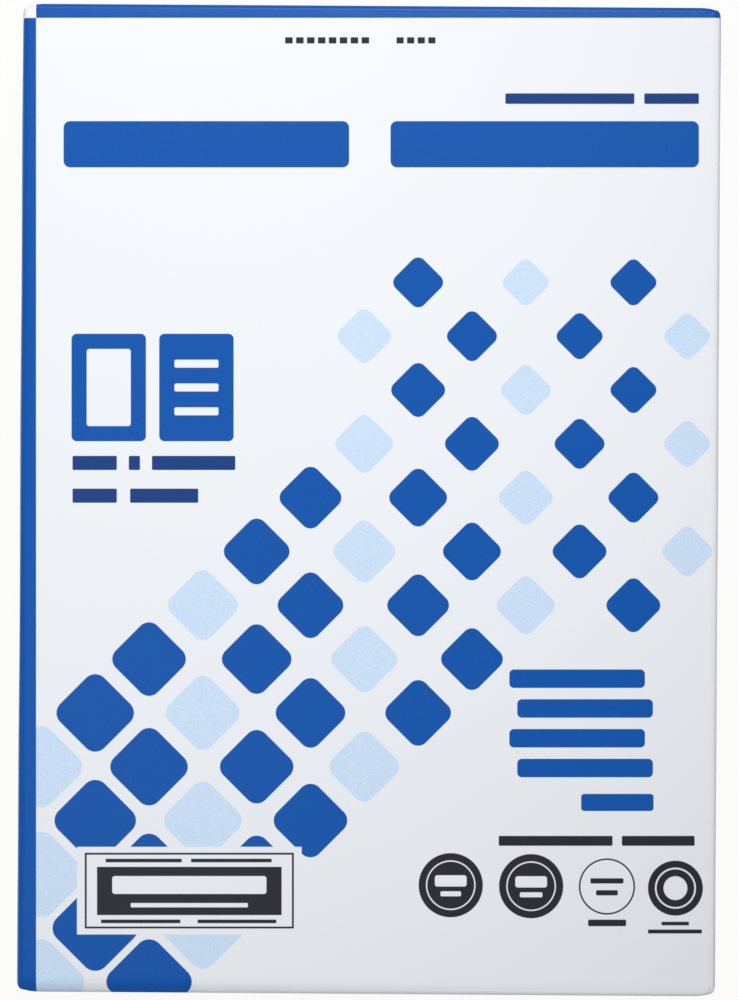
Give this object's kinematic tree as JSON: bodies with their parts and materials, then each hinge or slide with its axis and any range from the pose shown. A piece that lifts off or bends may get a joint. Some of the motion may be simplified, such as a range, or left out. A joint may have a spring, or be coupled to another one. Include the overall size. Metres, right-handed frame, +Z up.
{
  "type": "sealed ream of paper",
  "caption": "Sealed ream of A4 copy paper in a glued wrapper with envelope folded ends, lying flat.",
  "frame": {"origin": "middle of the footprint, on the surface that the pack lies on", "axes": "+Z up through the thickness, out of the printed front; +Y along the sheets, towards the head of the pack; +X across the sheets, to the right of someone reading the front"},
  "size_m": [0.2146, 0.2992, 0.0524],
  "materials": {
    "wrapper": "semi-gloss coated paper, printed white and blue"
  },
  "bodies": {
    "root": {"sealed_ream": "wrapper"}
  },
  "joints": []
}
